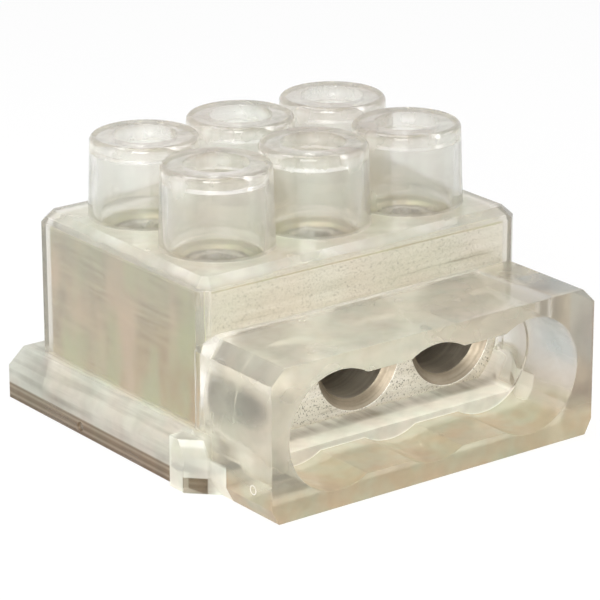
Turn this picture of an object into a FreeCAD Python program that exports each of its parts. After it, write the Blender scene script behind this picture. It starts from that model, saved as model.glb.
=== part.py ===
import FreeCAD, Part
import Sketcher

import math
import os

# Insulated three-way distribution block for 150 mm2 cable, millimetres.
# X runs across the three ports, the ports open towards -Y and the screws stand along +Z.
# The origin is in the middle of the six screws, on the underside of the base plate.

DOC = FreeCAD.newDocument("distribution_block")

# alias, value, what it sets
SIZES = [
    ("port_pitch", 24.0, "from one port to the next"),
    ("row_pitch", 25.0, "between the two rows of set screws"),
    ("body_chamfer", 2.3, "bevel on the box's corners and top edges"),
    ("side_wall", 2.4, "cover wall at the sides"),
    ("back_wall", 2.4, "cover wall at the back"),
    ("front_wall", 2.1, "cover wall round the window"),
    ("top_wall", 2.4, "cover wall over the metal block"),
    ("block_gap", 0.3, "clearance round the metal block"),
    ("tower_height", 17.0, "screw tower above the box's top"),
    ("tower_wall", 1.9, "tower wall where it leaves the box"),
    ("tower_draft", 2.0, "lean of a tower's outside, degrees"),
    ("tower_bore_radius", 9.9, "inside of a tower below its lip"),
    ("lip_thickness", 3.5, "inward lip that keeps the screw in"),
    ("lip_catch", 0.4, "lip's hole inside the screw's outside"),
    ("rim_round", 1.2, "rounding of a tower's top edge"),
    ("flange_side", 3.0, "flange beyond the box's sides"),
    ("flange_front", 3.4, "flange beyond the box's front"),
    ("flange_rear", 8.0, "flange beyond the box's back"),
    ("flange_edge", 7.2, "height of the flange's upright edge"),
    ("flange_top", 11.5, "height of the flange where it meets the box"),
    ("flange_slope", 2.7, "run of the flange's sloping top"),
    ("flange_corner", 0.8, "bevel on the flange's rear corners"),
    ("flange_front_corner", 6.0, "bevel on the flange's front corners"),
    ("nub_proud", 1.1, "front corner block beyond the flange's side"),
    ("nub_length", 10.4, "front corner block along the side"),
    ("nub_corner", 5.6, "bevel on the front corner block"),
    ("nub_edge", 7.6, "height of the front corner block's upright edge"),
    ("nub_height", 10.8, "top of the front corner block"),
    ("nub_lean", 2.0, "run of the front corner block's sloping front"),
    ("shroud_reach", 23.0, "shroud in front of the box"),
    ("shroud_wall", 4.25, "shroud beside the mouth's ends"),
    ("shroud_roof", 3.3, "shroud over the mouth's lobes"),
    ("shroud_top_bevel", 3.1, "bevel on the shroud's top edges"),
    ("shroud_foot_run", 1.7, "bevel on the shroud's lower edges, across"),
    ("shroud_foot_rise", 3.2, "bevel on the shroud's lower edges, up"),
    ("mouth_radius", 12.35, "round lobe of the mouth at each port"),
    ("mouth_drop", 1.15, "lobes' centres below the cable bores"),
    ("lobe_below", 1.8, "lobes below the mouth's flat floor"),
    ("lobe_above", 1.9, "lobes above the mouth's flat ceiling"),
    ("mouth_depth", 15.2, "depth of the lobed mouth"),
    ("window_rim", 0.45, "window to the metal, inside the lobes"),
    ("window_sill", 2.55, "window's flat sill over the bottom of its round ends"),
    ("window_head", 1.75, "window's flat head under the top of its round ends"),
    ("skirt_wall", 1.5, "rim of the cover round the base plate"),
    ("plate_gap", 0.15, "clearance round the base plate"),
    ("plate_thickness", 3.1, "base plate"),
    ("plate_lead", 1.4, "plate's recess in front of the box"),
    ("seat_height", 1.4, "ribs of the base plate under the metal block"),
    ("seat_rib", 2.2, "width of those ribs"),
    ("pip_radius", 0.9, "snap pips on the base plate's edge"),
    ("pip_reach", 1.2, "snap pips beyond the base plate's edge"),
    ("pip_rise", 1.7, "height of the pips' centres"),
    ("pip_place", 9.5, "side pips behind the middle"),
    ("port_axis", 17.2, "height of the cable bores"),
    ("port_radius", 8.4, "cable bore"),
    ("port_past_screw", 0.5, "cable bore's full width past the rear screws"),
    ("block_end_wall", 5.1, "metal beside the outer bores"),
    ("block_front_wall", 8.1, "metal in front of the front screws"),
    ("block_back_wall", 7.0, "metal behind the rear screws"),
    ("block_roof", 14.7, "metal over the cable bores"),
    ("port_lead_radius", 10.5, "countersink at a cable bore's mouth"),
    ("block_edge", 0.8, "broken edges of the metal block"),
    ("screw_radius", 7.0, "set screw, over the thread"),
    ("screw_gap", 0.05, "clearance round a set screw"),
    ("screw_length", 13.5, "set screw"),
    ("screw_sunk", 0.8, "set screw below the block's top face"),
    ("screw_point", 1.6, "bevel at a set screw's lower end"),
    ("screw_edge", 0.6, "bevel at a set screw's upper end"),
    ("socket_flats", 8.0, "hexagon socket across its flats"),
    ("socket_depth", 7.0, "hexagon socket"),
    ("hole_edge", 0.7, "countersink at a screw hole's mouth"),
]

sheet = DOC.addObject("Spreadsheet::Sheet", "sizes")
for row, (alias, value, use) in enumerate(SIZES, start=1):
    sheet.set(f"A{row}", alias)
    sheet.set(f"B{row}", str(value))
    sheet.set(f"C{row}", use)
    sheet.setAlias(f"B{row}", alias)
DOC.recompute()


def cell(alias):
    return float(getattr(sheet, alias))


def bind(text):
    """An expression in plain names, with each name read from the sheet."""
    for alias, _, _ in sorted(SIZES, key=lambda entry: -len(entry[0])):
        text = text.replace(alias, "@" + alias.upper() + "@")
    for alias, _, _ in SIZES:
        text = text.replace("@" + alias.upper() + "@", "sizes." + alias)
    return text


def worked_out(text):
    """The present value of such an expression."""
    return float(DOC.sizes.evalExpression(bind(text)))


def new_body(label):
    body = DOC.addObject("PartDesign::Body", label)
    body.Label = label
    return body


def new_sketch(body, name, plane, offset="0"):
    """A sketch on one of the body's own origin planes, moved out along its normal."""
    sketch = body.newObject("Sketcher::SketchObject", name)
    origin_plane = [f for f in body.Origin.OriginFeatures if f.Role == plane][0]
    sketch.AttachmentSupport = [(origin_plane, "")]
    sketch.MapMode = "FlatFace"
    sketch.setExpression("AttachmentOffset.Base.z", bind(offset))
    return sketch


def place_point(sketch, geometry, end, across, up):
    """Ties one point of a sketch to the sheet, measured from the origin."""
    for kind, text in (("DistanceX", across), ("DistanceY", up)):
        value = worked_out(text)
        index = sketch.addConstraint(Sketcher.Constraint(kind, -1, 1, geometry, end, value))
        if text.replace(".", "").strip("-") != "0":
            sketch.renameConstraint(index, f"{kind.lower()}_{index}")
            sketch.setExpression(f"Constraints.{kind.lower()}_{index}", bind(text))


def polygon(sketch, corners):
    """A closed outline of straight edges through corners given as pairs of expressions."""
    points = [FreeCAD.Vector(worked_out(a), worked_out(b), 0) for a, b in corners]
    first = len(sketch.Geometry)
    count = len(points)
    for i in range(count):
        sketch.addGeometry(Part.LineSegment(points[i], points[(i + 1) % count]), False)
    for i in range(count):
        following = first + (i + 1) % count
        sketch.addConstraint(Sketcher.Constraint("Coincident", first + i, 2, following, 1))
    for i, (across, up) in enumerate(corners):
        place_point(sketch, first + i, 1, across, up)


def circle(sketch, across, up, radius):
    """A circle whose centre and radius come from the sheet."""
    centre = FreeCAD.Vector(worked_out(across), worked_out(up), 0)
    normal = FreeCAD.Vector(0, 0, 1)
    index = sketch.addGeometry(Part.Circle(centre, normal, worked_out(radius)), False)
    place_point(sketch, index, 3, across, up)
    ring = sketch.addConstraint(Sketcher.Constraint("Radius", index, worked_out(radius)))
    sketch.renameConstraint(ring, f"radius_{ring}")
    sketch.setExpression(f"Constraints.radius_{ring}", bind(radius))


def rectangle(sketch, left, right, low, high):
    polygon(sketch, [(left, low), (right, low), (right, high), (left, high)])


def pad(body, sketch, length, back=False, taper=None):
    feature = body.newObject("PartDesign::Pad", sketch.Name + "_pad")
    feature.Profile = sketch
    feature.setExpression("Length", bind(length))
    feature.Reversed = back
    if taper:
        feature.setExpression("TaperAngle", bind(taper))
    body.Tip = feature
    DOC.recompute()
    return feature


def pocket(body, sketch, length, back=False):
    before = body.Shape.Volume
    feature = body.newObject("PartDesign::Pocket", sketch.Name + "_pocket")
    feature.Profile = sketch
    feature.setExpression("Length", bind(length))
    feature.Reversed = back
    body.Tip = feature
    DOC.recompute()
    if body.Shape.Volume >= before:
        raise RuntimeError(feature.Name + " cut nothing")
    return feature


def edges_where(body, test):
    """Names of the body's edges that pass a test, for a fillet or a chamfer."""
    return [f"Edge{i}" for i, edge in enumerate(body.Shape.Edges, start=1) if test(edge)]


def dress(body, kind, name, test, size):
    """A fillet or chamfer of a size from the sheet, on the edges that pass the test."""
    base = body.Tip
    edges = edges_where(body, test)
    feature = body.newObject("PartDesign::" + kind, name)
    feature.Base = (base, edges)
    feature.setExpression("Radius" if kind == "Fillet" else "Size", bind(size))
    body.Tip = feature
    DOC.recompute()
    return feature


def near(value, text, slack=1e-3):
    return abs(value - worked_out(text)) < slack


def flat_at(edge, text):
    """True for an edge that lies level at the given height."""
    box = edge.BoundBox
    return near(box.ZMin, text) and near(box.ZMax, text)


COLUMNS = ("-port_pitch", "0", "port_pitch")
ROWS = ("-row_pitch / 2", "row_pitch / 2")

# The bores and screws set the metal block, and the block sets the cover round it.
BLOCK_TOP = "(port_axis + port_radius + block_roof)"
BLOCK_BOTTOM = "(plate_thickness + seat_height)"
BLOCK_SIDE = "(port_pitch + port_radius + block_end_wall)"
BLOCK_FRONT = "(row_pitch / 2 + screw_radius + block_front_wall)"
BLOCK_BACK = "(row_pitch / 2 + screw_radius + block_back_wall)"
BODY_TOP = f"({BLOCK_TOP} + block_gap + top_wall)"
BODY_SIDE = f"({BLOCK_SIDE} + block_gap + side_wall)"
BODY_FRONT = f"({BLOCK_FRONT} + block_gap + front_wall)"
BODY_BACK = f"({BLOCK_BACK} + block_gap + back_wall)"
TOWER_FOOT_RADIUS = "(tower_bore_radius + tower_wall)"
KEY_HOLE_RADIUS = "(screw_radius - lip_catch)"
SHROUD_FRONT = f"({BODY_FRONT} + shroud_reach)"
SHROUD_SIDE = "(port_pitch + mouth_radius + shroud_wall)"
MOUTH_AXIS = "(port_axis - mouth_drop)"
SHROUD_TOP = f"({MOUTH_AXIS} + mouth_radius + shroud_roof)"
WINDOW_RADIUS = "(mouth_radius - window_rim)"
WINDOW_FLOOR = f"({MOUTH_AXIS} - {WINDOW_RADIUS} + window_sill)"
WINDOW_CEILING = f"({MOUTH_AXIS} + {WINDOW_RADIUS} - window_head)"
PLATE_SIDE = f"({BODY_SIDE} + flange_side - skirt_wall)"
PLATE_BACK = f"({BODY_BACK} + flange_rear - skirt_wall)"
PLATE_FRONT = f"({BODY_FRONT} + plate_lead)"


def flange_outline(inset, front):
    """The flange's plan, drawn in by inset, with bevelled corners."""
    side = f"({BODY_SIDE} + flange_side - {inset})"
    rear = f"({BODY_BACK} + flange_rear - {inset})"
    nose = "flange_front_corner"
    return [
        (f"-{side}", f"-{front} + {nose}"), (f"-{side} + {nose}", f"-{front}"),
        (f"{side} - {nose}", f"-{front}"), (f"{side}", f"-{front} + {nose}"),
        (f"{side}", f"{rear} - flange_corner"), (f"{side} - flange_corner", f"{rear}"),
        (f"-{side} + flange_corner", f"{rear}"), (f"-{side}", f"{rear} - flange_corner"),
    ]


# The cover: one clear moulding of a box, a flange, six screw towers and a shroud.
cover = new_body("cover")

foot = new_sketch(cover, "flange_foot", "XY_Plane")
polygon(foot, flange_outline("0", f"({BODY_FRONT} + flange_front)"))
pad(cover, foot, "flange_edge")

slope = new_sketch(cover, "flange_slope_foot", "XY_Plane", "flange_edge")
polygon(slope, flange_outline("0", f"({BODY_FRONT} + flange_front)"))
pad(cover, slope, "flange_top - flange_edge",
    taper="-atan(flange_slope / (flange_top - flange_edge))")


def nub_outline(sign, lean):
    """The plan of a front corner block, with its front and bevel drawn back by lean."""
    outer = f"({BODY_SIDE} + flange_side + nub_proud)"
    inner = f"({BODY_SIDE} - body_chamfer)"
    nose = f"({BODY_FRONT} + flange_front + nub_proud)"
    return [
        (f"{sign}{inner}", f"-{nose} + {lean}"),
        (f"{sign}({outer} - nub_corner)", f"-{nose} + {lean}"),
        (f"{sign}{outer}", f"-{nose} + {lean} + nub_corner"),
        (f"{sign}{outer}", f"-{nose} + nub_length"), (f"{sign}{inner}", f"-{nose} + nub_length"),
    ]


for side, sign in (("left", "-"), ("right", "")):
    nub = new_sketch(cover, side + "_nub", "XY_Plane")
    polygon(nub, nub_outline(sign, "0"))
    pad(cover, nub, "nub_edge")
    nub_shoulder = new_sketch(cover, side + "_nub_shoulder", "XY_Plane", "nub_edge")
    polygon(nub_shoulder, nub_outline(sign, "0"))
    nub_top = new_sketch(cover, side + "_nub_top", "XY_Plane", "nub_height")
    polygon(nub_top, nub_outline(sign, "nub_lean"))
    nub_head = cover.newObject("PartDesign::AdditiveLoft", side + "_nub_head")
    nub_head.Profile = nub_shoulder
    nub_head.Sections = [nub_top]
    nub_head.Ruled = True
    cover.Tip = nub_head
    DOC.recompute()

box_side = f"({BODY_SIDE} - body_chamfer)"
box = new_sketch(cover, "box_plan", "XY_Plane")
polygon(box, [
    (f"-{box_side}", f"-{BODY_FRONT}"), (f"{box_side}", f"-{BODY_FRONT}"),
    (BODY_SIDE, f"-{BODY_FRONT} + body_chamfer"), (BODY_SIDE, f"{BODY_BACK} - body_chamfer"),
    (f"{box_side}", BODY_BACK), (f"-{box_side}", BODY_BACK),
    (f"-{BODY_SIDE}", f"{BODY_BACK} - body_chamfer"), (f"-{BODY_SIDE}", f"-{BODY_FRONT} + body_chamfer"),
])
pad(cover, box, BODY_TOP)
dress(cover, "Chamfer", "box_top_bevel", lambda edge: flat_at(edge, BODY_TOP), "body_chamfer")

low_side = f"({SHROUD_SIDE} - shroud_foot_run)"
high_side = f"({SHROUD_SIDE} - shroud_top_bevel)"
shroud = new_sketch(cover, "shroud_front", "XZ_Plane", SHROUD_FRONT)
polygon(shroud, [
    (f"-{low_side}", "0"), (low_side, "0"),
    (SHROUD_SIDE, "shroud_foot_rise"), (SHROUD_SIDE, f"{SHROUD_TOP} - shroud_top_bevel"),
    (high_side, SHROUD_TOP), (f"-{high_side}", SHROUD_TOP),
    (f"-{SHROUD_SIDE}", f"{SHROUD_TOP} - shroud_top_bevel"), (f"-{SHROUD_SIDE}", "shroud_foot_rise"),
])
pad(cover, shroud, "shroud_reach + front_wall", back=True)

towers = new_sketch(cover, "tower_feet", "XY_Plane", BODY_TOP)
for column in COLUMNS:
    for line in ROWS:
        circle(towers, column, line, TOWER_FOOT_RADIUS)
pad(cover, towers, "tower_height", taper="-tower_draft")
dress(cover, "Fillet", "tower_rims",
      lambda edge: isinstance(edge.Curve, Part.Circle) and flat_at(edge, f"{BODY_TOP} + tower_height"),
      "rim_round")

plate_recess = new_sketch(cover, "plate_recess", "XY_Plane")
polygon(plate_recess, flange_outline("skirt_wall", PLATE_FRONT))
pocket(cover, plate_recess, "plate_thickness", back=True)

cavity = new_sketch(cover, "block_cavity", "XY_Plane", "plate_thickness")
rectangle(cavity, f"-({BLOCK_SIDE} + block_gap)", f"{BLOCK_SIDE} + block_gap",
          f"-({BLOCK_FRONT} + block_gap)", f"{BLOCK_BACK} + block_gap")
pocket(cover, cavity, f"{BLOCK_TOP} + block_gap - plate_thickness", back=True)

tower_bores = new_sketch(cover, "tower_bores", "XY_Plane", f"{BLOCK_TOP} + block_gap")
key_holes = new_sketch(cover, "key_holes", "XY_Plane", BODY_TOP)
for column in COLUMNS:
    for line in ROWS:
        circle(tower_bores, column, line, "tower_bore_radius")
        circle(key_holes, column, line, KEY_HOLE_RADIUS)
pocket(cover, tower_bores, "top_wall + tower_height - lip_thickness", back=True)
pocket(cover, key_holes, "tower_height", back=True)

mouth_slot = new_sketch(cover, "mouth_slot", "XZ_Plane", SHROUD_FRONT)
rectangle(mouth_slot, "-port_pitch", "port_pitch",
          f"{MOUTH_AXIS} - mouth_radius + lobe_below", f"{MOUTH_AXIS} + mouth_radius - lobe_above")
pocket(cover, mouth_slot, "mouth_depth")
for name, column in zip(("left", "middle", "right"), COLUMNS):
    lobe = new_sketch(cover, name + "_lobe", "XZ_Plane", SHROUD_FRONT)
    circle(lobe, column, MOUTH_AXIS, "mouth_radius")
    pocket(cover, lobe, "mouth_depth")


def round_ended_slot(sketch):
    """The window's outline: flat sill and head, round ends about the outer ports."""
    axis, reach, pitch = worked_out(MOUTH_AXIS), worked_out(WINDOW_RADIUS), cell("port_pitch")
    low = axis - worked_out(WINDOW_FLOOR)
    high = worked_out(WINDOW_CEILING) - axis
    sill = math.sqrt(reach ** 2 - low ** 2)
    head = math.sqrt(reach ** 2 - high ** 2)
    low_turn = -math.asin(low / reach)
    high_turn = math.asin(high / reach)
    towards = FreeCAD.Vector(0, 0, 1)
    right_end = Part.Circle(FreeCAD.Vector(pitch, axis, 0), towards, reach)
    left_end = Part.Circle(FreeCAD.Vector(-pitch, axis, 0), towards, reach)
    sill_ends = [FreeCAD.Vector(way * (pitch + sill), axis - low, 0) for way in (-1, 1)]
    head_ends = [FreeCAD.Vector(way * (pitch + head), axis + high, 0) for way in (1, -1)]
    sketch.addGeometry([
        Part.LineSegment(*sill_ends),
        Part.ArcOfCircle(right_end, low_turn, high_turn),
        Part.LineSegment(*head_ends),
        Part.ArcOfCircle(left_end, math.pi - high_turn, math.pi - low_turn),
    ], False)
    for first, second, second_end in ((0, 1, 1), (1, 2, 1), (2, 3, 1), (3, 0, 1)):
        sketch.addConstraint(Sketcher.Constraint("Coincident", first, 2, second, second_end))
    sketch.addConstraint(Sketcher.Constraint("Horizontal", 0))
    sketch.addConstraint(Sketcher.Constraint("Horizontal", 2))
    place_point(sketch, 1, 3, "port_pitch", MOUTH_AXIS)
    place_point(sketch, 3, 3, "-port_pitch", MOUTH_AXIS)
    for arc in (1, 3):
        radius = sketch.addConstraint(Sketcher.Constraint("Radius", arc, reach))
        sketch.renameConstraint(radius, f"end_{arc}")
        sketch.setExpression(f"Constraints.end_{arc}", bind(WINDOW_RADIUS))
    for edge, text in ((0, WINDOW_FLOOR), (2, WINDOW_CEILING)):
        level = sketch.addConstraint(Sketcher.Constraint("DistanceY", -1, 1, edge, 1, worked_out(text)))
        sketch.renameConstraint(level, f"level_{edge}")
        sketch.setExpression(f"Constraints.level_{edge}", bind(text))


window = new_sketch(cover, "window", "XZ_Plane", SHROUD_FRONT)
round_ended_slot(window)
pocket(cover, window, "shroud_reach + front_wall")

side_pips = new_sketch(cover, "side_pip_holes", "YZ_Plane", f"-({BODY_SIDE} + flange_side)")
circle(side_pips, "pip_place", "pip_rise", "pip_radius + plate_gap")
pocket(cover, side_pips, f"2 * ({BODY_SIDE} + flange_side)", back=True)
rear_pip = new_sketch(cover, "rear_pip_hole", "XZ_Plane", f"-({BODY_BACK} + flange_rear)")
circle(rear_pip, "0", "pip_rise", "pip_radius + plate_gap")
pocket(cover, rear_pip, "skirt_wall", back=True)

# The base plate: a flat moulding that snaps into the flange and carries the metal block on ribs.
base_plate = new_body("base_plate")
plate = new_sketch(base_plate, "plate_plan", "XY_Plane")
polygon(plate, flange_outline("(skirt_wall + plate_gap)", f"({PLATE_FRONT} - plate_gap)"))
pad(base_plate, plate, "plate_thickness")

ribs = new_sketch(base_plate, "seat_ribs", "XY_Plane", "plate_thickness")
rectangle(ribs, f"-{BLOCK_SIDE}", BLOCK_SIDE, f"-{BLOCK_FRONT}", BLOCK_BACK)
for left, right in (("-BLOCK", "-port_pitch / 2"), ("-port_pitch / 2", "port_pitch / 2"),
                    ("port_pitch / 2", "BLOCK")):
    left = left.replace("-BLOCK", f"-{BLOCK_SIDE} + seat_rib / 2")
    right = right.replace("BLOCK", f"{BLOCK_SIDE} - seat_rib / 2")
    rectangle(ribs, f"{left} + seat_rib / 2", f"{right} - seat_rib / 2",
              f"-{BLOCK_FRONT} + seat_rib", f"{BLOCK_BACK} - seat_rib")
pad(base_plate, ribs, "seat_height")

plate_pips = new_sketch(base_plate, "side_pips", "YZ_Plane", f"-({PLATE_SIDE} - plate_gap + pip_reach)")
circle(plate_pips, "pip_place", "pip_rise", "pip_radius")
pad(base_plate, plate_pips, f"2 * ({PLATE_SIDE} - plate_gap + pip_reach)")
back_pip = new_sketch(base_plate, "rear_pip", "XZ_Plane", f"-({PLATE_BACK} - plate_gap + pip_reach)")
circle(back_pip, "0", "pip_rise", "pip_radius")
pad(base_plate, back_pip, "2 * pip_reach")

# The metal block: tin-plated, with three blind cable bores and two screw holes into each.
block = new_body("conductor_block")
block_plan = new_sketch(block, "block_plan", "XY_Plane", BLOCK_BOTTOM)
rectangle(block_plan, f"-{BLOCK_SIDE}", BLOCK_SIDE, f"-{BLOCK_FRONT}", BLOCK_BACK)
pad(block, block_plan, f"{BLOCK_TOP} - {BLOCK_BOTTOM}")
dress(block, "Chamfer", "block_edges", lambda edge: True, "block_edge")

ports = new_sketch(block, "port_centres", "XZ_Plane", BLOCK_FRONT)
for column in COLUMNS:
    circle(ports, column, "port_axis", "port_radius")
DOC.recompute()
bores = block.newObject("PartDesign::Hole", "cable_bores")
bores.Profile = ports
block.Tip = bores
DOC.recompute()
bores.DepthType = "Dimension"
bores.setExpression("Diameter", bind("2 * port_radius"))
bores.setExpression("Depth", bind(f"{BLOCK_FRONT} + row_pitch / 2 + screw_radius + port_past_screw"))
bores.DrillPoint = "Angled"
bores.DrillPointAngle = 118
bores.HoleCutType = "Countersink"
bores.setExpression("HoleCutDiameter", bind("2 * port_lead_radius"))
bores.HoleCutCountersinkAngle = 90
DOC.recompute()

screw_holes = new_sketch(block, "screw_centres", "XY_Plane", BLOCK_TOP)
for column in COLUMNS:
    for line in ROWS:
        circle(screw_holes, column, line, "screw_radius + screw_gap")
DOC.recompute()
threads = block.newObject("PartDesign::Hole", "screw_holes")
threads.Profile = screw_holes
block.Tip = threads
DOC.recompute()
threads.DepthType = "Dimension"
threads.setExpression("Diameter", bind("2 * (screw_radius + screw_gap)"))
threads.setExpression("Depth", bind(f"{BLOCK_TOP} - port_axis"))
threads.DrillPoint = "Flat"
threads.HoleCutType = "Countersink"
threads.setExpression("HoleCutDiameter", bind("2 * (screw_radius + screw_gap + hole_edge)"))
threads.HoleCutCountersinkAngle = 90
DOC.recompute()

# The set screws: hexagon socket, flat point, one over each end of each cable bore.
screws = []
for row_index, line in enumerate(ROWS):
    for column_index, column in enumerate(COLUMNS):
        screw = new_body(f"set_screw_{row_index * len(COLUMNS) + column_index + 1}")
        profile = new_sketch(screw, screw.Name + "_profile", "XZ_Plane")
        polygon(profile, [
            ("0", "-screw_length"), ("screw_radius - screw_point", "-screw_length"),
            ("screw_radius", "-screw_length + screw_point"), ("screw_radius", "-screw_edge"),
            ("screw_radius - screw_edge", "0"), ("0", "0"),
        ])
        turned = screw.newObject("PartDesign::Revolution", screw.Name + "_turned")
        turned.Profile = profile
        turned.ReferenceAxis = (profile, ["V_Axis"])
        turned.Angle = 360
        screw.Tip = turned
        DOC.recompute()
        socket = new_sketch(screw, screw.Name + "_socket", "XY_Plane")
        half_flat = "(socket_flats / 2)"
        point = "(socket_flats / 3 ^ 0.5)"
        polygon(socket, [
            (point, "0"), (f"{point} / 2", half_flat), (f"-{point} / 2", half_flat),
            (f"-{point}", "0"), (f"-{point} / 2", f"-{half_flat}"), (f"{point} / 2", f"-{half_flat}"),
        ])
        pocket(screw, socket, "socket_depth")
        screw.setExpression("Placement.Base.x", bind(column))
        screw.setExpression("Placement.Base.y", bind(line))
        screw.setExpression("Placement.Base.z", bind(f"{BLOCK_TOP} - screw_sunk"))
        screws.append(screw)

DOC.recompute()
pieces = [cover, base_plate, block] + screws
for thing in DOC.Objects:
    if "Invalid" in thing.State or "Error" in thing.State:
        raise RuntimeError(f"{thing.Label} did not build: {thing.State}")
for piece in pieces:
    if piece.Shape.isNull() or not piece.Shape.isValid():
        raise RuntimeError(piece.Label + " has no valid shape")
    if len(piece.Shape.Solids) != 1:
        raise RuntimeError(piece.Label + " is not one solid")

os.makedirs("parts", exist_ok=True)
for piece in pieces:
    piece.Shape.exportStep(f"parts/{piece.Label}.step")
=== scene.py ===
import math

import bmesh
import bpy
from mathutils import Matrix, Quaternion, Vector
from mathutils.geometry import delaunay_2d_cdt


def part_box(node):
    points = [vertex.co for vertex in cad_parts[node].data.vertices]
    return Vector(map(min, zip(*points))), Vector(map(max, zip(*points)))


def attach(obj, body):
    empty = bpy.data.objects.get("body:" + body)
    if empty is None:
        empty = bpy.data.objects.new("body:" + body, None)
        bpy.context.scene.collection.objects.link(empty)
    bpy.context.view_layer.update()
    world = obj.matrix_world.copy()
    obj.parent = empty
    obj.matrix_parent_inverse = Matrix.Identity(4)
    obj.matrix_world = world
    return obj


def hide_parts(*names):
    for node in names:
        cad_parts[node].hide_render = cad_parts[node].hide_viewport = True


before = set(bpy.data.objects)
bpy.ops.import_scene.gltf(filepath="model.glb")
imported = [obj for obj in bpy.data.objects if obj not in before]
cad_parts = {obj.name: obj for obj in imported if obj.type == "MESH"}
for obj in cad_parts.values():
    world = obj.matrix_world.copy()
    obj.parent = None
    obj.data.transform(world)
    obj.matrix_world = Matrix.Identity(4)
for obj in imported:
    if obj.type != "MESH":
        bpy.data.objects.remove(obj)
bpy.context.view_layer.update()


# The cover is one clear moulding: box, flange, six screw towers and a shroud with a shared mouth.
# It is injected in hard clear plastic, a few millimetres thick, with edges broken by the mould.
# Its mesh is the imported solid's, with every sharp edge rounded off and every flat face filled afresh.
WELD = 0.000002
ON_PLANE = 0.000003
FEWEST_TRIANGLES = 12
SHARP = math.radians(20)
MOULD_ROUND = 0.00014


def lies_in(face, normal, level):
    """True for a face whose corners all lie in the plane."""
    return all(abs(corner.co.dot(normal) - level) < ON_PLANE for corner in face.verts)


def welded(node):
    """A CAD node's loose triangles as one closed skin."""
    skin = bmesh.new()
    skin.from_mesh(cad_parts[node].data)
    bmesh.ops.remove_doubles(skin, verts=skin.verts, dist=WELD)
    skin.normal_update()
    return skin


def number_flats(skin, patch):
    """Gives the triangles of each flat face one number, and returns each number's plane."""
    planes = []
    for seed in skin.faces:
        if seed[patch]:
            continue
        normal, level = seed.normal.copy(), seed.normal.dot(seed.verts[0].co)
        reached = [seed]
        seed[patch] = len(planes) + 1
        for face in reached:
            for other in (f for edge in face.edges for f in edge.link_faces if not f[patch]):
                if other.normal.dot(normal) > 0.99 and lies_in(other, normal, level):
                    other[patch] = len(planes) + 1
                    reached.append(other)
        planes.append((normal, level, len(reached)))
    return planes


def enclosed(point, lines):
    """True inside an outline with holes: a ray from the point crosses it an odd number of times."""
    crossed = [(a, b) for a, b in lines if (a.y > point.y) != (b.y > point.y)]
    return sum(point.x < a.x + (point.y - a.y) / (b.y - a.y) * (b.x - a.x) for a, b in crossed) % 2 == 1


def fill_flat(skin, outline, normal):
    """Fills a flat face's outline, holes and all, with triangles."""
    lay = normal.rotation_difference(Vector((0, 0, 1))).to_matrix()
    corners = list({v for edge in outline for v in edge.verts})
    level = (lay @ corners[0].co).z
    place = {v: i for i, v in enumerate(corners)}
    plan = [(lay @ v.co).xy * 1000 for v in corners]
    ties = [tuple(place[v] for v in edge.verts) for edge in outline]
    lines = [(plan[first], plan[second]) for first, second in ties]
    points, _, triangles, sources, _, _ = delaunay_2d_cdt(plan, ties, [], 0, 0.00001)
    used = []
    for point, source in zip(points, sources):
        at = (point.x / 1000, point.y / 1000, level)
        used.append(corners[source[0]] if source else skin.verts.new(lay.transposed() @ Vector(at)))
    for triangle in triangles:
        trio = [used[i] for i in triangle]
        if enclosed(sum((points[i] for i in triangle), Vector((0, 0))) / 3, lines) and not skin.faces.get(trio):
            skin.faces.new(trio)


def round_edges(skin, radius, steps=2, spared=lambda edge: False):
    """Rounds every edge sharper than SHARP that isn't spared, and fills the large flat faces afresh."""
    patch = skin.faces.layers.int.new("patch")
    planes = number_flats(skin, patch)
    sharp = [e for e in skin.edges if e.calc_face_angle(0) > SHARP and not spared(e)]
    bmesh.ops.bevel(skin, geom=sharp, offset=radius, segments=steps, profile=0.5,
                    affect="EDGES", clamp_overlap=False, material=-1)
    flats = {}
    for face in skin.faces:
        normal, level, count = planes[face[patch] - 1]
        if count > FEWEST_TRIANGLES and lies_in(face, normal, level):
            flats.setdefault(face[patch], set()).add(face)
    outlines = {
        number: [e for e in {e for f in faces for e in f.edges} if len(faces.intersection(e.link_faces)) == 1]
        for number, faces in flats.items()
    }
    bmesh.ops.delete(skin, geom=[f for faces in flats.values() for f in faces], context="FACES_ONLY")
    for number, outline in outlines.items():
        fill_flat(skin, outline, planes[number - 1][0])
    bmesh.ops.delete(skin, geom=[e for e in skin.edges if not e.link_faces], context="EDGES")


def finished(skin, name, body, slot, *materials, moulded=True):
    """The mesh as a piece that rides on a body and wears the materials given.

    A moulded piece shades across its rounded edges, with the flat faces kept flat. The slot argument is not used.
    """
    for face in skin.faces:
        face.smooth = True
    skin.normal_update()
    for edge in skin.edges:
        edge.smooth = moulded or len(edge.link_faces) == 2 and edge.calc_face_angle(0) < SHARP
    lean = [sum((f.normal * f.calc_area() for f in v.link_faces), Vector()) for v in skin.verts]
    mesh = bpy.data.meshes.new(name)
    skin.to_mesh(mesh)
    skin.free()
    if moulded:
        mesh.normals_split_custom_set_from_vertices([direction.normalized() for direction in lean])
    for material in materials:
        mesh.materials.append(material)
    piece = bpy.data.objects.new(name, mesh)
    bpy.context.scene.collection.objects.link(piece)
    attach(piece, body)
    return piece


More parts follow.
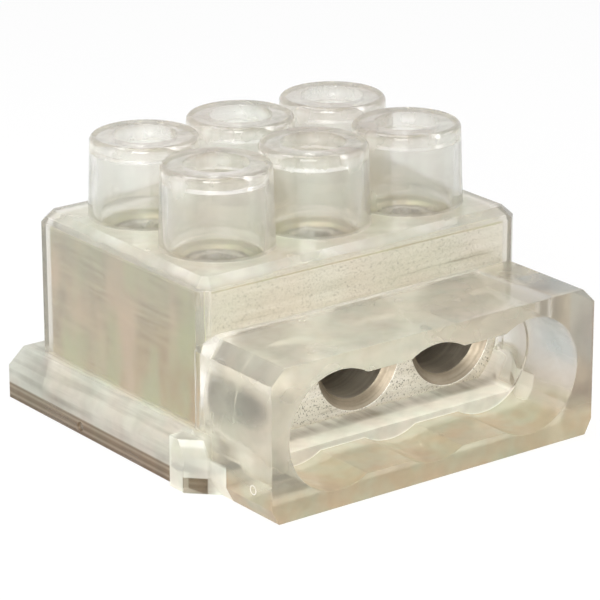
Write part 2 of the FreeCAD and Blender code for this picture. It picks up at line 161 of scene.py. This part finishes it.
class Nodes:
    """The node tree of a new material, with short calls to add and link."""

    def __init__(self, name):
        self.material = bpy.data.materials.new(name)
        self.material.use_nodes = True
        self.tree = self.material.node_tree
        self.tree.nodes.clear()
        self.out = self.add("OutputMaterial")
        self.place = self.add("TexCoord").outputs["Object"]

    def add(self, kind, inputs=None, **settings):
        node = self.tree.nodes.new("ShaderNode" + kind)
        for key, value in settings.items():
            setattr(node, key, value)
        for key, value in (inputs or {}).items():
            self.give(node.inputs[key], value)
        return node

    def give(self, socket, value):
        if isinstance(value, bpy.types.NodeSocket):
            self.tree.links.new(value, socket)
        else:
            socket.default_value = value

    def noise(self, scale, detail=3.0, stretch=(1, 1, 1), rough=0.5):
        """Noise in the object's own place, stretched along an axis by a number below 1, and else turned askew."""
        askew = (0.5, 0.8, 0.3) if min(stretch) == 1 else (0, 0, 0)
        placed = self.add("Mapping", {"Vector": self.place, "Scale": stretch, "Rotation": askew})
        noise = self.add("TexNoise", {"Vector": placed.outputs[0], "Scale": scale, "Detail": detail,
                                      "Roughness": rough})
        return noise.outputs["Fac"]

    def between(self, value, low, high, start=0.0, end=1.0):
        """A number from low to high as value goes from start to end."""
        return self.add("MapRange", {"Value": value, "From Min": start, "From Max": end,
                                     "To Min": low, "To Max": high}).outputs[0]

    def times(self, first, *others):
        """The product of numbers."""
        for other in others:
            first = self.add("Math", {0: first, 1: other}, operation="MULTIPLY").outputs[0]
        return first

    def mix(self, amount, first, second, how="MIX"):
        mixed = self.add("Mix", data_type="RGBA", blend_type=how)
        for socket, value in zip((mixed.inputs[0], mixed.inputs[6], mixed.inputs[7]), (amount, first, second)):
            self.give(socket, value)
        return mixed.outputs[2]

    def ramp(self, value, stops):
        """A colour that follows value through (value, colour) stops."""
        first, last = stops[0][0], stops[-1][0]
        node = self.add("ValToRGB", {0: self.between(value, 0, 1, first, last)})
        marks = node.color_ramp.elements
        marks[0].color, marks[1].color = stops[0][1], stops[-1][1]
        for at, colour in stops[1:-1]:
            marks.new((at - first) / (last - first)).color = colour
        return node.outputs[0]

    def bump(self, height, strength, distance):
        return self.add("Bump", {"Height": height, "Strength": strength, "Distance": distance}).outputs[0]


def clear_plastic(made, tint, cloud, share, depth_tint, density, shadow_tint, dull=1.0):
    """Clear moulded plastic gone a little milky.

    The clear part bends light, has faint ripples and rubbed patches, and darkens with depth. The milky part,
    a share of the whole, scatters light at each skin.
    """
    rubbed = made.noise(160, 3, (1, 1, 0.5))
    uneven = made.bump(made.noise(90, 2), 0.12, 0.0006)
    skin = made.add("BsdfPrincipled", {
        "Base Color": tint, "IOR": 1.5, "Transmission Weight": 1.0,
        "Roughness": made.times(made.between(rubbed, 0.12, 0.28, 0.3, 0.8), dull), "Normal": uneven,
        "Coat Weight": 0.6, "Coat Roughness": 0.04, "Coat Normal": uneven,
    })
    matt = made.add("BsdfDiffuse", {"Color": cloud, "Normal": uneven})
    glow = made.add("BsdfTranslucent", {"Color": cloud, "Normal": uneven})
    milk = made.add("MixShader", {0: 0.5, 1: matt.outputs[0], 2: glow.outputs[0]})
    patchy = made.between(made.noise(70, 3), 0.8, 1.2, 0.35, 0.65)
    amount = made.times(patchy, share)
    plastic = made.add("MixShader", {0: amount, 1: skin.outputs[0], 2: milk.outputs[0]})
    through = made.add("BsdfTransparent", {"Color": shadow_tint})
    lamp_ray = made.add("LightPath").outputs["Is Shadow Ray"]
    surface = made.add("MixShader", {0: lamp_ray, 1: plastic.outputs[0], 2: through.outputs[0]})
    depth = made.add("VolumeAbsorption", {"Color": depth_tint, "Density": density})
    made.give(made.out.inputs["Surface"], surface.outputs[0])
    made.give(made.out.inputs["Volume"], depth.outputs[0])
    return made.material


def grey(value):
    return (value, value, value, 1)


PIP_SPOTS = [(-0.0432, 0.0095, 0.0017), (0.0432, 0.0095, 0.0017), (0, 0.0372, 0.0017)]
GATE_SPOT = (-0.0406, -0.0469, 0.0057)
RING_RADIUS = 0.0009
RING_HALF_WIDTH = 0.00012
HALF_PORT_PITCH = 0.012


def cover_look():
    """The cover's plastic, coloured by place in metres: across the ports, ahead along them, and by level.

    Brown in the skirt, beige in the thick shroud, palest in the towers, which the mould has streaked.
    tint is the clear part's colour, cloud the milky part's, and share how much of the whole is milky.
    """
    made = Nodes("cover_plastic")
    across, ahead, level = made.add("SeparateXYZ", {0: made.place}).outputs

    # By level: the skirt's mould lines, the flange, the box's walls, its top, the towers and their rims.
    tint = made.ramp(level, [
        (0.0, (0.84, 0.79, 0.70, 1)), (0.0120, (0.98, 0.975, 0.955, 1)), (0.0400, (0.98, 0.975, 0.955, 1)),
        (0.0460, (0.92, 0.92, 0.91, 1)),
    ])
    skirt = made.ramp(level, [
        (0.0, (0.24, 0.18, 0.13, 1)), (0.0006, (0.24, 0.18, 0.13, 1)), (0.0011, (0.52, 0.45, 0.37, 1)),
        (0.0016, (0.26, 0.20, 0.14, 1)), (0.0022, (0.30, 0.23, 0.17, 1)), (0.0027, (0.52, 0.45, 0.37, 1)),
        (0.0032, (0.26, 0.20, 0.14, 1)), (0.0036, (0.60, 0.57, 0.52, 1)),
    ])
    # Painted light on the towers: a thin painted highlight line just outside each tower's foot, a painted dark shade
    # arc at the foot that fades up the lower wall, and a painted highlight band just under the rims, which are darker
    # on top.
    walls = made.ramp(level, [
        (0.0036, (0.88, 0.87, 0.84, 1)), (0.0115, (0.95, 0.95, 0.92, 1)), (0.0130, (0.70, 0.66, 0.57, 1)),
        (0.0395, (0.72, 0.69, 0.61, 1)), (0.0415, (0.88, 0.88, 0.85, 1)), (0.0430, (0.92, 0.91, 0.87, 1)),
        (0.0431, (1.00, 1.00, 0.98, 1)), (0.0432, (0.42, 0.39, 0.33, 1)), (0.0437, (0.62, 0.59, 0.52, 1)),
        (0.0450, (0.76, 0.75, 0.70, 1)), (0.0500, (0.82, 0.81, 0.78, 1)), (0.0585, (0.96, 0.96, 0.94, 1)),
        (0.0592, (0.80, 0.77, 0.74, 1)), (0.0600, (0.52, 0.47, 0.43, 1)),
    ])
    cloud = made.mix(made.between(level, 0, 1, 0.0035, 0.0037), skirt, walls)
    share = made.ramp(level, [
        (0.0, grey(0.60)), (0.0115, grey(0.60)), (0.0130, grey(0.12)), (0.0395, grey(0.12)), (0.0420, grey(0.34)),
        (0.0430, grey(0.34)), (0.0450, grey(0.24)), (0.0540, grey(0.16)), (0.0600, grey(0.32)),
    ])

    # The towers: upright streaks and darker bands.
    streaks = made.between(made.noise(170, 3, (1, 1, 0.02)), 0.65, 1.35, 0.35, 0.65)
    tower = made.between(level, 0, 1, 0.0433, 0.0440)
    share = made.mix(tower, share, made.mix(1.0, share, streaks, "MULTIPLY"))
    bands = made.between(made.noise(130, 2, (1, 1, 0.02)), 0, 0.45, 0.45, 0.65)
    cloud = made.mix(made.times(tower, bands), cloud, (0.50, 0.48, 0.43, 1))

    # Painted shade, darker to the right, away from the lamps; the flange's drawn streaks; the strip of front wall over
    # the shroud; the front corner blocks, pale but for the foot of the slanting face.
    # Painted shade: the cloud darkens to the right, away from the lamps.
    shade_to_right = made.between(across, 0, 1, -0.010, 0.040)
    cloud = made.mix(made.times(shade_to_right, 0.35), cloud, (0.44, 0.41, 0.37, 1))
    drawn = made.between(made.noise(450, 3, (1, 0.07, 1)), 0, 0.55, 0.45, 0.65)
    flange = made.times(made.between(level, 0, 1, 0.0036, 0.0040), made.between(level, 1, 0, 0.0114, 0.0118))
    cloud = made.mix(made.times(flange, drawn), cloud, (0.42, 0.41, 0.38, 1))
    front = made.times(made.between(ahead, 1, 0, -0.0279, -0.0275), made.between(level, 0, 1, 0.0290, 0.0300),
                       made.between(level, 1, 0, 0.0400, 0.0410))
    cloud = made.mix(front, cloud, (0.88, 0.85, 0.77, 1))
    share = made.mix(front, share, grey(0.16))
    outward = made.add("Math", {0: across}, operation="ABSOLUTE").outputs[0]
    nub = made.times(made.between(outward, 0, 1, 0.0408, 0.0410), made.between(ahead, 1, 0, -0.0235, -0.0225))
    slant = made.add("Math", {0: ahead, 1: outward}, operation="SUBTRACT").outputs[0]
    nub_foot = made.times(made.between(slant, 1, 0, -0.0731, -0.0728), made.between(level, 1, 0, 0.0032, 0.0034))
    nub_cloud = made.mix(nub_foot, (1.0, 0.99, 0.97, 1), (0.20, 0.15, 0.10, 1))

    # The shroud: paler in its roof and warmer low down, with painted shade darker to the right, a painted shadow patch
    # in its left wall (the shadow of the hollow mouth behind it), and on the mouth's floor painted soft reflections of
    # the bores.
    low = made.between(level, 1, 0, 0.0050, 0.0080)
    roof = made.between(level, 0, 1, 0.0260, 0.0300)
    thick = made.mix(shade_to_right, (0.66, 0.64, 0.56, 1), (0.46, 0.39, 0.32, 1))
    thick = made.mix(roof, thick, made.mix(shade_to_right, (0.80, 0.79, 0.72, 1), (0.50, 0.45, 0.38, 1)))
    warm = made.between(made.noise(120, 2), 0, 1, 0.40, 0.60)
    thick = made.mix(low, thick, made.mix(warm, (0.54, 0.54, 0.43, 1), (0.60, 0.49, 0.36, 1)))
    # Painted shadow: a soft dark patch in the shroud's left wall, the hollow mouth's shadow.
    shadow_patch_reach = made.add("VectorMath", {0: made.add("Mapping", {
        "Vector": made.place, "Location": (4.06, 6.41, -5.50), "Scale": (100, 143, 250)}).outputs[0]},
        operation="LENGTH").outputs["Value"]
    thick = made.mix(made.between(shadow_patch_reach, 0.75, 0, 0.5, 1.1), thick, (0.24, 0.24, 0.22, 1))
    shelf = made.times(made.between(ahead, 0, 1, -0.0382, -0.0379), made.between(level, 1, 0, 0.0070, 0.0078))
    # Painted reflections: soft dark spots on the mouth's floor in front of each bore.
    from_port = made.add("Math", {0: across, 1: HALF_PORT_PITCH}, operation="PINGPONG").outputs[0]
    painted_bore_reflections = made.times(made.between(from_port, 1, 0, 0.0030, 0.0070), made.between(ahead, 0, 1, -0.0330, -0.0312))
    thick = made.mix(shelf, thick, made.mix(painted_bore_reflections, (1.0, 1.0, 0.97, 1), (0.46, 0.43, 0.35, 1)))
    shroud = made.between(ahead, 1, 0, -0.0335, -0.0305)
    cloud = made.mix(shroud, cloud, thick)
    cloud = made.mix(nub, cloud, nub_cloud)

    # How milky the shroud is: clearer at the mouth's right end, with a painted cool reflection there, cloudiest on its
    # floor.
    clear_end = made.times(made.between(across, 0, 1, 0.029, 0.032), made.between(level, 0, 1, 0.0125, 0.0165),
                           made.between(ahead, 1, 0, -0.0400, -0.0385), made.between(ahead, 0, 1, -0.0526, -0.0515))
    share = made.mix(shroud, share, made.mix(low, grey(0.36), grey(0.52)))
    share = made.mix(clear_end, share, grey(0.45))
    share = made.mix(made.times(shelf, shroud), share, grey(0.80))
    # Painted cool reflection: a grey-blue cloud at the mouth's right end.
    cloud = made.mix(clear_end, cloud, (0.42, 0.44, 0.46, 1))

    # Faint hues and mottling all over, a browner tint in the shroud's foot, and painted highlights: pale rings where
    # the pips and the mould's gate sit.
    hues = made.mix(made.between(made.noise(95, 2), 0, 1, 0.38, 0.62), (1.0, 0.96, 0.92, 1), (0.95, 1.0, 0.95, 1))
    hues = made.mix(made.between(made.noise(240, 4), 0, 0.15, 0.45, 0.65), hues, (0.45, 0.42, 0.38, 1))
    cloud = made.mix(1.0, cloud, hues, "MULTIPLY")
    tint = made.mix(made.times(low, made.between(ahead, 1, 0, -0.0390, -0.0382)), tint, (0.90, 0.85, 0.75, 1))
    # Painted highlights: a pale ring round each pip and the mould's gate.
    for spot in [*PIP_SPOTS, GATE_SPOT]:
        away = made.add("VectorMath", {0: made.place, 1: spot}, operation="DISTANCE").outputs["Value"]
        painted_highlight_ring = made.add("Math", {0: away, 1: RING_RADIUS, 2: RING_HALF_WIDTH}, operation="COMPARE").outputs[0]
        cloud = made.mix(painted_highlight_ring, cloud, (1, 1, 1, 1))
        share = made.mix(painted_highlight_ring, share, grey(0.7))
    dull = made.between(tower, 1.0, 0.55)
    return clear_plastic(made, tint, cloud, share, (0.80, 0.74, 0.62, 1), 22.0, (0.9, 0.89, 0.86, 1), dull)


cover_plastic = cover_look()
cover_skin = welded("cover")
COVER_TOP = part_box("cover")[1].z
RIM_DEPTH = 0.0013
HIP_LOW, HIP_HIGH = 0.0071, 0.0116
SEAM_SIDE, SEAM_FRONT, SEAM_BACK = 0.0398, -0.0281, -0.0275


def left_sharp(edge):
    """The towers' rims, round already; the flange's low hips; the shroud's thin edge along the box."""
    spots = [corner.co for corner in edge.verts]
    angle = edge.calc_face_angle(0)
    rim = all(at.z > COVER_TOP - RIM_DEPTH for at in spots) and angle < math.radians(60)
    hip = all(HIP_LOW < at.z < HIP_HIGH for at in spots) and angle < math.radians(40)
    return rim or hip or all(abs(at.x) > SEAM_SIDE and SEAM_FRONT < at.y < SEAM_BACK for at in spots)


round_edges(cover_skin, MOULD_ROUND, spared=left_sharp)
cover_piece = finished(cover_skin, "cover_moulding", "housing", "clear_plastic", cover_plastic)
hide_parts("cover")


# The base plate closes the underside. It is a flat moulding in the same family of plastic, a little
# browner, snapped into the cover's skirt by three pips.
plate_plastic = clear_plastic(Nodes("plate_plastic"), (0.80, 0.74, 0.66, 1), (0.45, 0.38, 0.30, 1), 0.4,
                              (0.62, 0.52, 0.38, 1), 60.0, (0.8, 0.77, 0.70, 1))
plate_skin = welded("base_plate")
round_edges(plate_skin, MOULD_ROUND / 2)
plate_piece = finished(plate_skin, "base_plate_moulding", "housing", "clear_base_plastic", plate_plastic)
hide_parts("base_plate")


# The conductor block is sawn from bar, drilled from the front for the cables and from the top for the
# screws, then plated. The sawn front is grainy, the sides are drawn and cloudy with painted shade towards the top, the
# bores are turned with painted shade in their roofs, and the countersinks are painted darker as shade.
BLOCK_LOW, BLOCK_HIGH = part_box("conductor_block")
BLOCK_ROUND = 0.00012
SKIN_DEPTH = 0.0009
LEAD_DEPTH = 0.0021
LEAD_LOW, LEAD_HIGH = BLOCK_LOW.z + 0.001, 0.0278


def block_metal(name, pale, dark, rough, stretch, grain_scale, grain_height, hues=False, pits=0.0, painted_roof_shade=0.0):
    """Dull plated metal streaked along an axis, with a fine grain, and where asked hue stains with painted shade
    towards the top, pits, and a painted shade darkening the roof.
    """
    made = Nodes(name)
    _, ahead, level = made.add("SeparateXYZ", {0: made.place}).outputs
    cloud = made.noise(70, 4)
    streak = made.noise(900, 4, stretch)
    grain = made.noise(grain_scale, 2)
    colour = made.mix(made.between(streak, 0, 1, 0.35, 0.65), dark, pale)
    colour = made.mix(made.between(cloud, 0.0, 0.4, 0.4, 0.62), colour, dark)
    if hues:
        corner = made.times(made.between(ahead, 0.25, 1.0, 0.020, -0.024), made.between(level, 1.0, 0.1, 0.008, 0.036))
        pink = made.between(made.noise(150, 2, (1, 1, 0.35)), 0, 0.75, 0.43, 0.63)
        green = made.between(made.noise(110, 2, (1, 1, 0.45)), 0, 0.75, 0.43, 0.63)
        specks = made.times(made.between(made.noise(700, 2), 1, 0, 0.30, 0.40), made.between(corner, 0, 1, 0.5, 0.9))
        colour = made.mix(made.between(corner, 0, 1.0, 0.0, 0.65), colour, (0.46, 0.29, 0.09, 1))
        colour = made.mix(pink, colour, (0.66, 0.49, 0.34, 1))
        colour = made.mix(green, colour, (0.48, 0.54, 0.27, 1))
        # Painted shade: the sides darken towards the top, under the cover's box.
        colour = made.mix(made.between(level, 0, 0.5, 0.030, 0.0403), colour, (0.36, 0.35, 0.25, 1))
        colour = made.mix(specks, colour, (0.24, 0.18, 0.10, 1))
    # Painted shade: the bore darkens towards its roof.
    if painted_roof_shade:
        colour = made.mix(made.between(level, 0, painted_roof_shade, 0.010, 0.021), colour, (0.16, 0.13, 0.11, 1))
    if pits:
        colour = made.mix(made.between(streak, pits, 0, 0.30, 0.36), colour, (0.42, 0.39, 0.32, 1))
        colour = made.mix(made.between(grain, pits, 0, 0.30, 0.44), colour, (0.22, 0.20, 0.17, 1))
    height = made.add("Math", {0: streak, 1: made.between(grain, 0, grain_height)}, operation="ADD").outputs[0]
    metal = made.add("BsdfPrincipled", {
        "Base Color": colour, "Metallic": 1.0, "Roughness": made.between(grain, rough - 0.08, rough + 0.08, 0.3, 0.7),
        "Normal": made.bump(height, 0.5, 0.00010),
    })
    made.give(made.out.inputs["Surface"], metal.outputs[0])
    return made.material


side_metal = block_metal("drawn_side", (0.62, 0.56, 0.38, 1), (0.27, 0.225, 0.13, 1), 0.42, (0.10, 0.10, 1), 1800, 0.0,
                         hues=True)
front_metal = block_metal("sawn_front", (1.0, 0.98, 0.94, 1), (0.82, 0.79, 0.72, 1), 0.42, (0.05, 1, 1), 2600, 2.0,
                          pits=0.8)
bore_metal = block_metal("turned_bore", (0.88, 0.82, 0.71, 1), (0.66, 0.60, 0.51, 1), 0.5, (0.03, 1, 0.03), 1500, 0.4,
                         painted_roof_shade=0.7)
# The countersinks: the turned metal darkened, as painted shade in their recess.
lead_metal = block_metal("countersink", (0.50, 0.45, 0.37, 1), (0.26, 0.22, 0.17, 1), 0.5, (0.03, 1, 0.03), 1500, 0.4)
block_skin = welded("conductor_block")
round_edges(block_skin, BLOCK_ROUND)
for face in block_skin.faces:
    centre = face.calc_center_median()
    slanting = 0.4 < abs(face.normal.y) < 0.9
    if abs(centre.y - BLOCK_LOW.y) < 0.0001:
        face.material_index = 1
    elif slanting and centre.y < BLOCK_LOW.y + LEAD_DEPTH and LEAD_LOW < centre.z < LEAD_HIGH:
        face.material_index = 3
    elif all(low + SKIN_DEPTH < at < high - SKIN_DEPTH for low, at, high in zip(BLOCK_LOW, centre, BLOCK_HIGH)):
        face.material_index = 2
    else:
        face.material_index = 0
block_piece = finished(block_skin, "conductor_bar", "housing", "tinned_metal",
                       side_metal, front_metal, bore_metal, lead_metal)
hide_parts("conductor_block")


# Each set screw is turned from steel bar, with a rolled thread, a broached hexagon socket for the key
# and a flat point that presses on the cable.
THREAD_PITCH = 0.0015
THREAD_DEPTH = 0.00075
SOCKET_FLATS = 0.008
SOCKET_DEEP = 0.007
POINT_BEVEL = 0.0016
EDGE_BEVEL = 0.0006
DRILL_POINT = 0.0012
ROUND_STEPS = 64
SCREW_TURN = math.radians(17)


def revolve(skin, outline):
    """Turns an outline of (radius, height) points about the Z axis."""
    points = [skin.verts.new((radius, 0, height)) for radius, height in outline]
    lines = [skin.edges.new(pair) for pair in zip(points, points[1:])]
    bmesh.ops.spin(skin, geom=points + lines, cent=(0, 0, 0), axis=(0, 0, 1), angle=math.tau,
                   steps=ROUND_STEPS, use_merge=True, use_duplicate=False)
    bmesh.ops.remove_doubles(skin, verts=skin.verts, dist=WELD)


def screw_mesh(radius, length):
    """A set screw with its top at the origin, hanging down along Z."""
    skin = bmesh.new()
    core = radius - THREAD_DEPTH
    point = radius - POINT_BEVEL
    crown = radius - EDGE_BEVEL - THREAD_DEPTH / 2
    revolve(skin, [(crown, 0), (core, -EDGE_BEVEL), (core, -length + POINT_BEVEL), (point, -length), (0, -length)])
    rim = [e for e in skin.edges if e.is_boundary]
    hexagon = bmesh.ops.create_circle(skin, segments=6, radius=SOCKET_FLATS / math.sqrt(3))["verts"]
    hexagon_edges = list({e for v in hexagon for e in v.link_edges})
    fill_flat(skin, rim + hexagon_edges, Vector((0, 0, 1)))
    walls = bmesh.ops.extrude_edge_only(skin, edges=hexagon_edges)["geom"]
    sunk = [v for v in walls if isinstance(v, bmesh.types.BMVert)]
    bmesh.ops.translate(skin, verts=sunk, vec=(0, 0, -SOCKET_DEEP))
    floor_edges = [e for e in walls if isinstance(e, bmesh.types.BMEdge) and all(v in sunk for v in e.verts)]
    floor = bmesh.ops.contextual_create(skin, geom=floor_edges)["faces"]
    bmesh.ops.poke(skin, faces=floor, offset=-DRILL_POINT)
    bmesh.ops.recalc_face_normals(skin, faces=skin.faces)

    turns = (length - POINT_BEVEL - EDGE_BEVEL) / THREAD_PITCH - 0.6
    ridge = bmesh.new()
    half = THREAD_PITCH * 0.46
    start = -length + POINT_BEVEL * 0.7
    profile = [ridge.verts.new(at) for at in (
        (core - 0.0001, 0, start), (radius, 0, start + half * 0.86),
        (radius, 0, start + half * 1.14), (core - 0.0001, 0, start + 2 * half),
    )]
    first = ridge.faces.new(profile)
    bmesh.ops.spin(ridge, geom=[first], cent=(0, 0, 0), axis=(0, 0, 1), angle=math.tau * turns,
                   dvec=(0, 0, THREAD_PITCH / ROUND_STEPS), steps=round(ROUND_STEPS * turns),
                   use_merge=False, use_duplicate=False)
    bmesh.ops.recalc_face_normals(ridge, faces=ridge.faces)
    mesh = bpy.data.meshes.new("thread_ridge")
    ridge.to_mesh(mesh)
    ridge.free()
    skin.from_mesh(mesh)
    bpy.data.meshes.remove(mesh)
    return skin


def screw_metal():
    """Zinc-plated steel, darker in its scratches."""
    made = Nodes("plated_screw_steel")
    scratch = made.noise(700, 5, (1, 1, 0.2))
    stain = made.noise(160, 3)
    colour = made.mix(made.between(scratch, 0, 1, 0.3, 0.7), (0.40, 0.40, 0.39, 1), (0.66, 0.65, 0.62, 1))
    colour = made.mix(made.between(stain, 0, 0.4, 0.5, 0.7), colour, (0.46, 0.42, 0.33, 1))
    metal = made.add("BsdfPrincipled", {
        "Base Color": colour, "Metallic": 1.0, "Roughness": made.between(scratch, 0.24, 0.42, 0.3, 0.7),
        "Normal": made.bump(scratch, 0.3, 0.00008),
    })
    made.give(made.out.inputs["Surface"], metal.outputs[0])
    return made.material


screw_steel = screw_metal()
for number in range(1, 7):
    low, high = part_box(f"set_screw_{number}")
    thread = screw_mesh((high.x - low.x) / 2, high.z - low.z)
    turn = Matrix.Rotation(SCREW_TURN * number, 3, "Z")
    bmesh.ops.rotate(thread, verts=thread.verts, cent=(0, 0, 0), matrix=turn)
    bmesh.ops.translate(thread, verts=thread.verts, vec=((low.x + high.x) / 2, (low.y + high.y) / 2, high.z))
    screw = finished(thread, f"threaded_screw_{number}", f"screw_{number}", "screw_steel", screw_steel,
                     moulded=False)
    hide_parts(f"set_screw_{number}")


# The floor and the studio: a white sweep that shows no horizon, with a large soft lamp in front on the
# left, a wide one on the right and one overhead.
def floor_surface():
    """Mostly white glow to every ray that shows it, with enough plain paint in it to keep the shadow."""
    made = Nodes("studio_floor")
    paint = made.add("BsdfDiffuse", {"Color": (0.9, 0.9, 0.9, 1)})
    glow = made.add("Emission", {"Color": (1, 1, 1, 1), "Strength": 1.0})
    path = made.add("LightPath")
    seen = made.add("Math", {0: path.outputs["Is Camera Ray"], 1: path.outputs["Is Glossy Ray"]}, operation="MAXIMUM")
    seen = made.add("Math", {0: seen.outputs[0], 1: path.outputs["Is Transmission Ray"]}, operation="MAXIMUM")
    share = made.times(seen.outputs[0], 0.75)
    mixed = made.add("MixShader", {0: share, 1: paint.outputs[0], 2: glow.outputs[0]})
    made.give(made.out.inputs["Surface"], mixed.outputs[0])
    return made.material


FLOOR_HALF = 3.0
FLOOR_BELOW = 0.00002
floor_sheet = bmesh.new()
bmesh.ops.create_grid(floor_sheet, x_segments=1, y_segments=1, size=FLOOR_HALF)
floor_mesh = bpy.data.meshes.new("floor")
floor_sheet.to_mesh(floor_mesh)
floor_sheet.free()
floor_mesh.materials.append(floor_surface())
floor = bpy.data.objects.new("floor", floor_mesh)
floor.location.z = -FLOOR_BELOW
bpy.context.scene.collection.objects.link(floor)

world = bpy.data.worlds.new("studio")
bpy.context.scene.world = world
world.use_nodes = True
sky = world.node_tree
sky_ray = sky.nodes.new("ShaderNodeLightPath")
camera_or_gloss = sky.nodes.new("ShaderNodeMath")
camera_or_gloss.operation = "MAXIMUM"
any_seen = sky.nodes.new("ShaderNodeMath")
any_seen.operation = "MAXIMUM"
strength = sky.nodes.new("ShaderNodeMapRange")
strength.inputs["To Min"].default_value = 0.5
strength.inputs["To Max"].default_value = 1.0
sky.links.new(sky_ray.outputs["Is Camera Ray"], camera_or_gloss.inputs[0])
sky.links.new(sky_ray.outputs["Is Glossy Ray"], camera_or_gloss.inputs[1])
sky.links.new(camera_or_gloss.outputs[0], any_seen.inputs[0])
sky.links.new(sky_ray.outputs["Is Transmission Ray"], any_seen.inputs[1])
sky.links.new(any_seen.outputs[0], strength.inputs["Value"])
sky.links.new(strength.outputs[0], sky.nodes["Background"].inputs["Strength"])
sky.nodes["Background"].inputs["Color"].default_value = (1, 1, 1, 1)

LAMP_AIM = Vector((0, 0, 0.03))
LAMPS = [
    ("front_lamp", (-0.60, -0.55, 0.45), 0.5, 6.5),
    ("side_lamp", (0.75, -0.25, 0.5), 0.4, 1.0),
    ("top_lamp", (-0.15, 0.15, 0.9), 0.6, 3.5),
]
for name, place, size, power in LAMPS:
    lamp = bpy.data.objects.new(name, bpy.data.lights.new(name, "AREA"))
    lamp.data.size = size
    lamp.data.energy = power
    lamp.location = place
    lamp.rotation_euler = (LAMP_AIM - Vector(place)).to_track_quat("-Z", "Y").to_euler()
    bpy.context.scene.collection.objects.link(lamp)


# The camera stands where the photographer's did: in front on the left, a little above, with a long lens.
CAMERA_AIM = Vector((-0.00291, -0.01183, 0.02654))
CAMERA_AWAY = 0.68497
CAMERA_AZIMUTH = math.radians(36.91)
CAMERA_ELEVATION = math.radians(19.36)
CAMERA_ROLL = math.radians(-0.116)
PHOTO_FOCAL = 3356.7
PHOTO_WIDE = 600
sight = Vector((
    math.sin(CAMERA_AZIMUTH) * math.cos(CAMERA_ELEVATION),
    math.cos(CAMERA_AZIMUTH) * math.cos(CAMERA_ELEVATION),
    -math.sin(CAMERA_ELEVATION),
))
camera = bpy.data.objects.new("camera", bpy.data.cameras.new("camera"))
camera.data.lens = camera.data.sensor_width * PHOTO_FOCAL / PHOTO_WIDE
camera.data.clip_start = 0.01
camera.location = CAMERA_AIM - sight * CAMERA_AWAY
camera.rotation_mode = "QUATERNION"
camera.rotation_quaternion = sight.to_track_quat("-Z", "Y") @ Quaternion((0, 0, 1), CAMERA_ROLL)
bpy.context.scene.collection.objects.link(camera)
bpy.context.scene.camera = camera
bpy.context.scene.view_settings.view_transform = "Standard"
bpy.context.scene.cycles.max_bounces = 24
bpy.context.scene.cycles.transmission_bounces = 24
bpy.context.scene.cycles.glossy_bounces = 12
